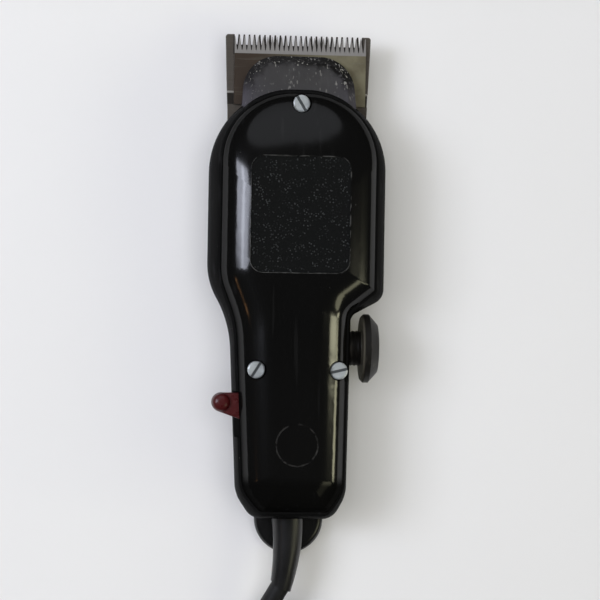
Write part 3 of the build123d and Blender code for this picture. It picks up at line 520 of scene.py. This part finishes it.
teeth = teeth * forward.rise(teeth_foot - edge_fade, teeth_foot + edge_fade)
beside = 1 - across.within(-covered_half, covered_half, edge_fade)
notch = beside * forward.within(notch_rear, notch_front, notch_fade)
lip = beside * forward.within(lip_y - lip_half, lip_y + lip_half, lip_fade)
colour = grind.tint(comb_dark, comb_bright)
colour = (stain * rear * 0.75).over(colour, comb_stain)
# Painted shade: the fixed comb's teeth, seen between the moving teeth, are painted dark.
colour = (teeth * 0.7).over(colour, comb_teeth_painted_shade)
# Painted shade and grime: the notch at either side is painted dark.
colour = (notch * 0.8).over(colour, notch_grime_and_shade)
# Painted highlight: a bright line on the lip in front of each notch.
colour = (lip * 0.8).over(colour, lip_painted_highlight)
feed(colour, stain * 0.15 + 0.34, grind, depth=0.00002)
dress(comb_steel, "fixed_blade")
bevel_rear = blade_tip - 0.0063
bevel_start = blade_tip - 0.0061
grade_from = -0.008
grade_to = 0.024
grade_wander = 0.016
cutter_brown = (0.070, 0.052, 0.039)
cutter_olive = (0.260, 0.240, 0.160)
cutter_stain = (0.075, 0.052, 0.034)
cutter_grind = (0.22, 0.21, 0.17)
cutter_bevel = (0.34, 0.325, 0.31)
cutter_steel, place, feed = new_finish("cutter_steel", Metallic=0.6)
grind = place.noise(1600, 3, stretch=(0.06, 1.0, 1.0))
bevel = place.along("Y").rise(bevel_rear, bevel_start)
stain = place.noise(140, 5).rise(0.45, 0.75)
# The moving comb grades from brown on the left to olive on the right along a wavering line.
tone = (place.along("X") + place.noise(60, 3) * grade_wander).rise(grade_from, grade_to)
colour = tone.tint(cutter_brown, cutter_olive)
colour = (stain * 0.5).over(colour, cutter_stain)
colour = (grind.rise(0.5, 0.8) * 0.3).over(colour, cutter_grind)
colour = bevel.over(colour, cutter_bevel)
feed(colour, 0.40 - bevel * 0.1 + stain * 0.1, grind, depth=0.00002)
dress(cutter_steel, "moving_blade")
nylon_dark = (0.55, 0.52, 0.45)
nylon_pale = (0.70, 0.68, 0.62)
guide_nylon, place, feed = new_finish("guide_nylon", Subsurface_Weight=0.05)
flow = place.noise(400, 3)
feed(flow.tint(nylon_dark, nylon_pale), flow * 0.15 + 0.4, flow, depth=0.00003)
dress(guide_nylon, "blade_guide")


# Nose hood: a dull dark grey scoop, bevelled round its roof, scuffed by brushing, with clippings and
# dust caught along its front edge, and a painted bluish reflection on its curved flanks.
hood_half = 0.0175
hood_rear = 0.0580
hood_length = 0.0188
hood_dark = (0.038, 0.037, 0.0375)
hood_chalk = (0.060, 0.0585, 0.0595)
hood_flank_painted_sheen = (0.085, 0.078, 0.100)
hood_brushed = (0.10, 0.10, 0.10)
clipping_dark = (0.005, 0.0047, 0.0044)
clipping_pale = (0.42, 0.41, 0.38)
hair_stretch = (1.0, 0.14, 1.0)
hood_grey, place, feed = new_finish("hood_grey", Specular_IOR_Level=0.06)
chalk = place.noise(90, 5)
brushed = place.noise(650, 4, stretch=(1.0, 0.12, 1.0)).rise(0.55, 0.8)
across = place.along("X") * (1 / hood_half)
forward = (place.along("Y") - hood_rear) * (1 / hood_length)
squared = across * across
far = forward * forward
right = across.rise(-0.2, 0.9)
# The front edge lies where the fourth powers of these shares add up to about one, made ragged by noise.
edge = squared * squared + far * far + place.noise(300, 4) * 0.6 + right * far * 0.3
edge = edge.rise(0.66, 0.98) * forward.rise(0.25, 0.62)
hairs = place.noise(1500, 1, hair_stretch, turn=0.8).rise(0.64, 0.68)
hairs = hairs + place.noise(1300, 1, hair_stretch, turn=-0.6).rise(0.65, 0.69)
hairs = hairs * place.noise(330, 2).rise(0.45, 0.60)
flecks = place.specks(620, 0.13) * place.noise(260, 3).rise(0.46, 0.60)
caught = place.noise(700, 4).rise(0.30, 0.46) * edge * (right * 0.15 + 0.8)
pale = (hairs * 0.75 + flecks * 0.9) * (edge * 0.8 + 0.30)
colour = chalk.tint(hood_dark, hood_chalk)
# Painted reflection: the curved flanks are painted lighter and bluer.
colour = (squared * squared * (1 - far) * 0.5).over(colour, hood_flank_painted_sheen)
colour = (brushed * 0.2).over(colour, hood_brushed)
colour = caught.over(colour, clipping_dark)
colour = pale.over(colour, clipping_pale)
feed(colour, chalk * 0.15 + 0.50, place.noise(1100, 3) + caught * 0.9, depth=0.00009)
dress(hood_grey, "nose_hood")


# Top cover: a black moulded dome polished by use. The recess on its back is bare and finely stippled,
# with a painted highlight along its rim, and a plain ring is sunk into the handle, with dust and a
# painted highlight in its groove. The polish is thin round the cover's foot, most of all in
# the handle, and worn away at the tail.
plate_half_width = 0.0156
plate_half_length = 0.0182
plate_y = 0.0254
plate_round = 0.0040
plate_fade = 0.0001
ring_y = -0.0466
ring_outer = 0.0069
ring_inner = 0.0062
ring_fade = 0.05
foot_low = 0.0302
foot_high = 0.0345
waist_rear = -0.0100
waist_front = 0.0150
tail_rear = -0.0598
tail_front = -0.0558
cover_black_deep = (0.0022, 0.0022, 0.0022)
cover_smudge = (0.0042, 0.0041, 0.0038)
cover_hairline = (0.014, 0.014, 0.014)
cover_dust = (0.16, 0.16, 0.15)
plate_black = (0.012, 0.013, 0.013)
plate_rubbed = (0.040, 0.042, 0.043)
plate_rim_painted_highlight = (0.075, 0.075, 0.072)
ring_dust_and_painted_highlight = (0.040, 0.039, 0.037)


def past(value, middle, reach):
    """How far the value lies beyond reach on either side of middle, and zero inside."""
    apart = value.make("Math", {"operation": "ABSOLUTE"}, {0: value - middle})
    return value.make("Math", {"operation": "MAXIMUM"}, {0: apart - reach, 1: 0.0})


cover_black, place, feed = new_finish("cover_black", Specular_IOR_Level=0.0, Coat_Roughness=0.12)
across = place.along("X")
lengthwise = place.along("Y")
# The plate's rounded outline, by the squared distance from a smaller rectangle inside it.
side_past = past(across, 0.0, plate_half_width - plate_round)
end_past = past(lengthwise, plate_y, plate_half_length - plate_round)
corner = side_past * side_past + end_past * end_past
recess = 1 - corner.rise((plate_round - plate_fade) ** 2, (plate_round + plate_fade) ** 2)
# Painted highlight: a thin lighter band round the plate's rounded outline.
rim = corner.rise((plate_round - 2 * plate_fade) ** 2, plate_round ** 2)
rim = rim * (1 - corner.rise((plate_round + plate_fade) ** 2, (plate_round + 3 * plate_fade) ** 2))
from_ring = lengthwise - ring_y
from_ring = from_ring * from_ring + across * across
ring = from_ring.rise(ring_inner ** 2, (1 + ring_fade) * ring_inner ** 2)
ring = ring * (1 - from_ring.rise((1 - ring_fade) * ring_outer ** 2, ring_outer ** 2))
smudge = place.noise(38, 5)
hairline = place.noise(420, 3, stretch=(1.0, 0.06, 1.0)).rise(0.64, 0.72)
dust = place.specks(300, 0.045) * place.noise(70, 2).rise(0.52, 0.68)
stipple = place.specks(1150, 0.36) * recess
rubbed = stipple * place.noise(330, 3).rise(0.38, 0.68)
colour = smudge.tint(cover_black_deep, cover_smudge)
colour = (hairline * 0.3).over(colour, cover_hairline)
colour = (recess * 0.4).over(colour, plate_black)
colour = rubbed.over(colour, plate_rubbed)
colour = (rim * place.noise(300, 3).rise(0.40, 0.60) * 0.8).over(colour, plate_rim_painted_highlight)
# Dust and a painted highlight: a broken grey line painted in the ring's groove.
colour = (ring * place.noise(400, 3).rise(0.35, 0.65) * 0.8).over(colour, ring_dust_and_painted_highlight)
colour = dust.over(colour, cover_dust)
wall = place.along("Z").rise(foot_low, foot_high)
foot = lengthwise.rise(waist_rear, waist_front) * 0.16 + 0.035
tail = 1 - lengthwise.rise(tail_rear, tail_front)
polish = (wall + (1 - wall) * foot) * (1 - recess * 0.3) * (1 - tail * 0.94)
feed(colour, smudge * 0.1 + recess * 0.2 + 0.2, stipple + place.noise(260, 2) * 0.06, depth=0.00008,
     coat=polish)
dress(cover_black, "top_cover")


# Screws: zinc-plated steel with round heads and a straight slot, with painted shade from the slot's bottom
# down.
# Three hold the cover down, and those inside hold the fixed blade, the tension spring and the core.
front_slot_z = 0.0314
rear_slot_z = 0.0339
slot_fade = 0.0002
rear_until = 0.0
front_from = 0.02
zinc_dull = (0.34, 0.365, 0.375)
zinc_bright = (0.80, 0.85, 0.86)
slot_painted_shade = (0.125, 0.135, 0.140)
zinc, place, feed = new_finish("zinc_plate", Metallic=0.6)
plating = place.noise(700, 4)
turned = place.noise(2600, 2, stretch=(1.0, 0.2, 1.0))
height = place.along("Z")
in_front = place.along("Y").rise(rear_until, front_from)
above = in_front * height.rise(front_slot_z, front_slot_z + slot_fade)
above = above + (1 - in_front) * height.rise(rear_slot_z, rear_slot_z + slot_fade)
colour = (plating * 0.5 + place.noise(260, 2) * 0.5).tint(zinc_dull, zinc_bright)
# Painted shade: everything below the top of the slot is painted dark.
feed((1 - above).over(colour, slot_painted_shade), plating * 0.22 + 0.24, turned, depth=0.00002)
dress(zinc, "cover_screws", "blade_screws", "tension_screw", "core_screws")


# Table and light: a pale seamless surface under a large soft lamp on the left and an even one above,
# which polished faces don't mirror. The dome mirrors a cool window with a brighter pane on the left,
# a small orange lamp beside it, a weak card in front and warm bars on the right.
floor_half = 3.0
floor_corners = [(-floor_half, -floor_half, 0), (floor_half, -floor_half, 0),
                 (floor_half, floor_half, 0), (-floor_half, floor_half, 0)]
table_shade = (0.79, 0.785, 0.785)
table_pale = (0.82, 0.815, 0.815)
floor_mesh = bpy.data.meshes.new("floor")
floor_mesh.from_pydata(floor_corners, [], [(0, 1, 2, 3)])
floor = bpy.data.objects.new("floor", floor_mesh)
bpy.context.scene.collection.objects.link(floor)
table_white, place, feed = new_finish("table_white", Specular_IOR_Level=0.2)
mottle = place.noise(9, 3)
feed(mottle.tint(table_shade, table_pale), mottle * 0.1 + 0.6, place.noise(600, 2), depth=0.00001)
floor_mesh.materials.append(table_white)


def soft_light(name, spot, target, size, power, colour, mirrored=True, roll=0.0, shape="RECTANGLE"):
    """A flat light at a spot, facing its target and rolled about its beam. Polished faces mirror it only
    where mirrored is true, as with a polarised lamp."""
    data = bpy.data.lights.new(name, "AREA")
    data.shape = shape
    data.size, data.size_y = size
    data.energy = power
    data.color = colour
    lamp = bpy.data.objects.new(name, data)
    facing = (Vector(target) - Vector(spot)).to_track_quat("-Z", "Y").to_matrix().to_4x4()
    lamp.matrix_world = Matrix.Translation(spot) @ facing @ Matrix.Rotation(roll, 4, "Z")
    lamp.visible_glossy = mirrored
    bpy.context.scene.collection.objects.link(lamp)


table_middle = (0, 0, 0)
dome_left = (-0.018, 0.025, 0.036)
dome_front = (0, 0.05, 0.036)
neck_left = (-0.018, 0.0, 0.035)
daylight = (0.99, 0.99, 1.0)
soft_light("key", (-0.85, 0.2, 1.3), table_middle, (1.0, 1.0), 8.5, daylight, mirrored=False)
soft_light("sky", (0.1, 0.0, 2.0), table_middle, (1.3, 1.3), 17.2, daylight, mirrored=False)
soft_light("window", (-0.70, 0.16, 0.90), dome_left, (0.28, 0.46), 3.5, (0.82, 0.86, 1.0))
soft_light("window_pane", (-0.654, 0.151, 0.938), dome_left, (0.26, 0.10), 0.50, (0.84, 0.88, 1.0))
soft_light("front_card", (-0.05, 0.74, 0.80), dome_front, (1.1, 0.8), 1.05, (0.90, 0.93, 1.0),
           shape="ELLIPSE")
soft_light("lamp_glint", (-1.18, -0.35, 0.9), neck_left, (0.09, 0.12), 0.075, (1.0, 0.5, 0.2),
           shape="ELLIPSE")
bar_x = 1.2
neck_roll = 0.63
for name, bar_y, bar_z, size, power, colour, roll in (
    ("side_bar", -0.13, 0.44, (0.22, 0.20), 0.7, (1.0, 0.97, 0.66), 0.0),
    ("shoulder_bar", -0.045, 0.80, (0.07, 0.60), 1.05, (1.0, 0.97, 0.68), 0.0),
    ("neck_bar", -0.68, 1.16, (0.36, 1.35), 3.6, (1.0, 0.97, 0.66), neck_roll),
    ("neck_core", -0.68, 1.16, (0.09, 1.0), 0.75, (1.0, 0.97, 0.62), neck_roll),
    ("head_bar", 0.03, 1.45, (0.05, 0.8), 0.10, (1.0, 0.97, 0.70), 0.0),
):
    soft_light(name, (bar_x, bar_y, bar_z), (0, bar_y, bar_z), size, power, colour, roll=roll,
               shape="ELLIPSE")
room_tint = (0.95, 0.96, 1.0, 1)
room_glow = 0.035
world = bpy.data.worlds.new("studio")
world.use_nodes = True
world.node_tree.nodes["Background"].inputs["Color"].default_value = room_tint
world.node_tree.nodes["Background"].inputs["Strength"].default_value = room_glow
bpy.context.scene.world = world
bpy.context.scene.view_settings.view_transform = "Standard"
